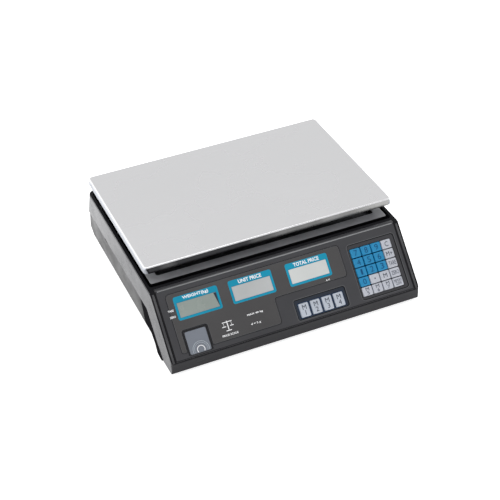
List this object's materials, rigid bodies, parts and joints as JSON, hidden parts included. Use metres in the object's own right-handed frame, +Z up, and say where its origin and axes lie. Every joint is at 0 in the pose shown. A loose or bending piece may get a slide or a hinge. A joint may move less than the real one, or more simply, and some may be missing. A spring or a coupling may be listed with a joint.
{
  "type": "retail price scale",
  "caption": "Bench retail scale: flat steel pan over a black two-part housing, sloped panel with three displays, bubble level and price keypad.",
  "frame": {"origin": "on the table under the middle of the scale, at the bottom of the feet", "axes": "+X is the operator's right, +Y runs to the back along the housing's slightly longer side, +Z is up"},
  "size_m": [0.3428, 0.3437, 0.1162],
  "materials": {
    "housing_plastic": "semi-gloss black moulded ABS",
    "inner_plastic": "fine satin black",
    "display_lens": "glossy smoked label",
    "lcd_glass": "gray-green liquid crystal",
    "circuit_board": "green solder mask",
    "clear_plastic": "clear, polished",
    "level_fluid": "clear vial with fluid",
    "rubber": "matte",
    "aluminium": "milled",
    "zinc_steel": "zinc plated",
    "battery_case": "moulded battery case",
    "transformer_core": "varnished laminations",
    "pan_steel": "polished stainless sheet",
    "switch_red": "gloss red",
    "key_blue": "satin blue",
    "key_white": "satin white"
  },
  "bodies": {
    "housing": {"upper_housing": "housing_plastic", "lower_housing": "housing_plastic", "front_panel": "housing_plastic", "display_lens": "display_lens", "lcd_weight": "lcd_glass", "lcd_unit_price": "lcd_glass", "lcd_total_price": "lcd_glass", "display_board": "circuit_board", "level_window": "clear_plastic", "level_vial": "level_fluid", "keypad_mat": "rubber", "keypad_board": "circuit_board", "main_board": "circuit_board", "load_cell": "aluminium", "load_cell_base": "zinc_steel", "overload_stop": "zinc_steel", "battery": "battery_case", "transformer": "transformer_core", "power_inlet": "inner_plastic", "switch_body": "inner_plastic", "rear_window": "display_lens", "rear_lcd": "lcd_glass", "rear_display_board": "circuit_board", "case_screw_front_left": "zinc_steel", "case_screw_front_right": "zinc_steel", "case_screw_rear_left": "zinc_steel", "case_screw_rear_right": "zinc_steel"},
    "carrier": {"pan_carrier": "inner_plastic", "platform_bracket": "aluminium"},
    "pan": {"pan": "pan_steel"},
    "switch_rocker": {"switch_rocker": "switch_red"},
    "battery_door": {"battery_door": "housing_plastic"},
    "foot_front_left": {"foot_front_left": "rubber"},
    "foot_front_right": {"foot_front_right": "rubber"},
    "foot_rear_left": {"foot_rear_left": "rubber"},
    "foot_rear_right": {"foot_rear_right": "rubber"},
    "key_7": {"key_7": "key_blue"},
    "key_8": {"key_8": "key_blue"},
    "key_9": {"key_9": "key_blue"},
    "key_c": {"key_c": "key_white"},
    "key_4": {"key_4": "key_blue"},
    "key_5": {"key_5": "key_blue"},
    "key_6": {"key_6": "key_blue"},
    "key_add": {"key_add": "key_white"},
    "key_1": {"key_1": "key_blue"},
    "key_2": {"key_2": "key_blue"},
    "key_3": {"key_3": "key_blue"},
    "key_tare": {"key_tare": "key_white"},
    "key_0": {"key_0": "key_blue"},
    "key_point": {"key_point": "key_white"},
    "key_m": {"key_m": "key_white"},
    "key_zero": {"key_zero": "key_white"},
    "key_m5": {"key_m5": "key_white"},
    "key_m6": {"key_m6": "key_white"},
    "key_m7": {"key_m7": "key_white"},
    "key_clear": {"key_clear": "key_white"},
    "key_m1": {"key_m1": "key_white"},
    "key_m2": {"key_m2": "key_white"},
    "key_m3": {"key_m3": "key_white"},
    "key_m4": {"key_m4": "key_white"}
  },
  "joints": [
    {"name": "pan_lift", "type": "slide", "parent": "carrier", "child": "pan", "axis": [0, 0, 1], "range_m": [0, 0.06]},
    {"name": "load_deflection", "type": "slide", "parent": "housing", "child": "carrier", "axis": [0, 0, 1], "range_m": [-0.0005, 0], "stiffness_N_per_m": 100000, "springref_m": 0.0001, "deforming": ["load_cell"]},
    {"name": "power_switch", "type": "hinge", "parent": "housing", "child": "switch_rocker", "pos_m": [0.07, 0.16262, 0.03447], "axis": [0, -0.4305, 0.9026], "range_deg": [-20, 0]},
    {"name": "battery_door_pull", "type": "slide", "parent": "housing", "child": "battery_door", "axis": [0, 0, -1], "range_m": [0, 0.02]},
    {"name": "foot_front_left_screw", "type": "slide", "parent": "housing", "child": "foot_front_left", "axis": [0, 0, -1], "range_m": [0, 0.004]},
    {"name": "foot_front_right_screw", "type": "slide", "parent": "housing", "child": "foot_front_right", "axis": [0, 0, -1], "range_m": [0, 0.004]},
    {"name": "foot_rear_left_screw", "type": "slide", "parent": "housing", "child": "foot_rear_left", "axis": [0, 0, -1], "range_m": [0, 0.004]},
    {"name": "foot_rear_right_screw", "type": "slide", "parent": "housing", "child": "foot_rear_right", "axis": [0, 0, -1], "range_m": [0, 0.004]},
    {"name": "key_7_press", "type": "slide", "parent": "housing", "child": "key_7", "axis": [0, 0.7411, -0.6714], "range_m": [0, 0.0012], "stiffness_N_per_m": 150},
    {"name": "key_8_press", "type": "slide", "parent": "housing", "child": "key_8", "axis": [0, 0.7411, -0.6714], "range_m": [0, 0.0012], "stiffness_N_per_m": 150},
    {"name": "key_9_press", "type": "slide", "parent": "housing", "child": "key_9", "axis": [0, 0.7411, -0.6714], "range_m": [0, 0.0012], "stiffness_N_per_m": 150},
    {"name": "key_c_press", "type": "slide", "parent": "housing", "child": "key_c", "axis": [0, 0.7411, -0.6714], "range_m": [0, 0.0012], "stiffness_N_per_m": 150},
    {"name": "key_4_press", "type": "slide", "parent": "housing", "child": "key_4", "axis": [0, 0.7411, -0.6714], "range_m": [0, 0.0012], "stiffness_N_per_m": 150},
    {"name": "key_5_press", "type": "slide", "parent": "housing", "child": "key_5", "axis": [0, 0.7411, -0.6714], "range_m": [0, 0.0012], "stiffness_N_per_m": 150},
    {"name": "key_6_press", "type": "slide", "parent": "housing", "child": "key_6", "axis": [0, 0.7411, -0.6714], "range_m": [0, 0.0012], "stiffness_N_per_m": 150},
    {"name": "key_add_press", "type": "slide", "parent": "housing", "child": "key_add", "axis": [0, 0.7411, -0.6714], "range_m": [0, 0.0012], "stiffness_N_per_m": 150},
    {"name": "key_1_press", "type": "slide", "parent": "housing", "child": "key_1", "axis": [0, 0.7411, -0.6714], "range_m": [0, 0.0012], "stiffness_N_per_m": 150},
    {"name": "key_2_press", "type": "slide", "parent": "housing", "child": "key_2", "axis": [0, 0.7411, -0.6714], "range_m": [0, 0.0012], "stiffness_N_per_m": 150},
    {"name": "key_3_press", "type": "slide", "parent": "housing", "child": "key_3", "axis": [0, 0.7411, -0.6714], "range_m": [0, 0.0012], "stiffness_N_per_m": 150},
    {"name": "key_tare_press", "type": "slide", "parent": "housing", "child": "key_tare", "axis": [0, 0.7411, -0.6714], "range_m": [0, 0.0012], "stiffness_N_per_m": 150},
    {"name": "key_0_press", "type": "slide", "parent": "housing", "child": "key_0", "axis": [0, 0.7411, -0.6714], "range_m": [0, 0.0012], "stiffness_N_per_m": 150},
    {"name": "key_point_press", "type": "slide", "parent": "housing", "child": "key_point", "axis": [0, 0.7411, -0.6714], "range_m": [0, 0.0012], "stiffness_N_per_m": 150},
    {"name": "key_m_press", "type": "slide", "parent": "housing", "child": "key_m", "axis": [0, 0.7411, -0.6714], "range_m": [0, 0.0012], "stiffness_N_per_m": 150},
    {"name": "key_zero_press", "type": "slide", "parent": "housing", "child": "key_zero", "axis": [0, 0.7411, -0.6714], "range_m": [0, 0.0012], "stiffness_N_per_m": 150},
    {"name": "key_m5_press", "type": "slide", "parent": "housing", "child": "key_m5", "axis": [0, 0.7411, -0.6714], "range_m": [0, 0.0012], "stiffness_N_per_m": 150},
    {"name": "key_m6_press", "type": "slide", "parent": "housing", "child": "key_m6", "axis": [0, 0.7411, -0.6714], "range_m": [0, 0.0012], "stiffness_N_per_m": 150},
    {"name": "key_m7_press", "type": "slide", "parent": "housing", "child": "key_m7", "axis": [0, 0.7411, -0.6714], "range_m": [0, 0.0012], "stiffness_N_per_m": 150},
    {"name": "key_clear_press", "type": "slide", "parent": "housing", "child": "key_clear", "axis": [0, 0.7411, -0.6714], "range_m": [0, 0.0012], "stiffness_N_per_m": 150},
    {"name": "key_m1_press", "type": "slide", "parent": "housing", "child": "key_m1", "axis": [0, 0.7411, -0.6714], "range_m": [0, 0.0012], "stiffness_N_per_m": 150},
    {"name": "key_m2_press", "type": "slide", "parent": "housing", "child": "key_m2", "axis": [0, 0.7411, -0.6714], "range_m": [0, 0.0012], "stiffness_N_per_m": 150},
    {"name": "key_m3_press", "type": "slide", "parent": "housing", "child": "key_m3", "axis": [0, 0.7411, -0.6714], "range_m": [0, 0.0012], "stiffness_N_per_m": 150},
    {"name": "key_m4_press", "type": "slide", "parent": "housing", "child": "key_m4", "axis": [0, 0.7411, -0.6714], "range_m": [0, 0.0012], "stiffness_N_per_m": 150}
  ]
}
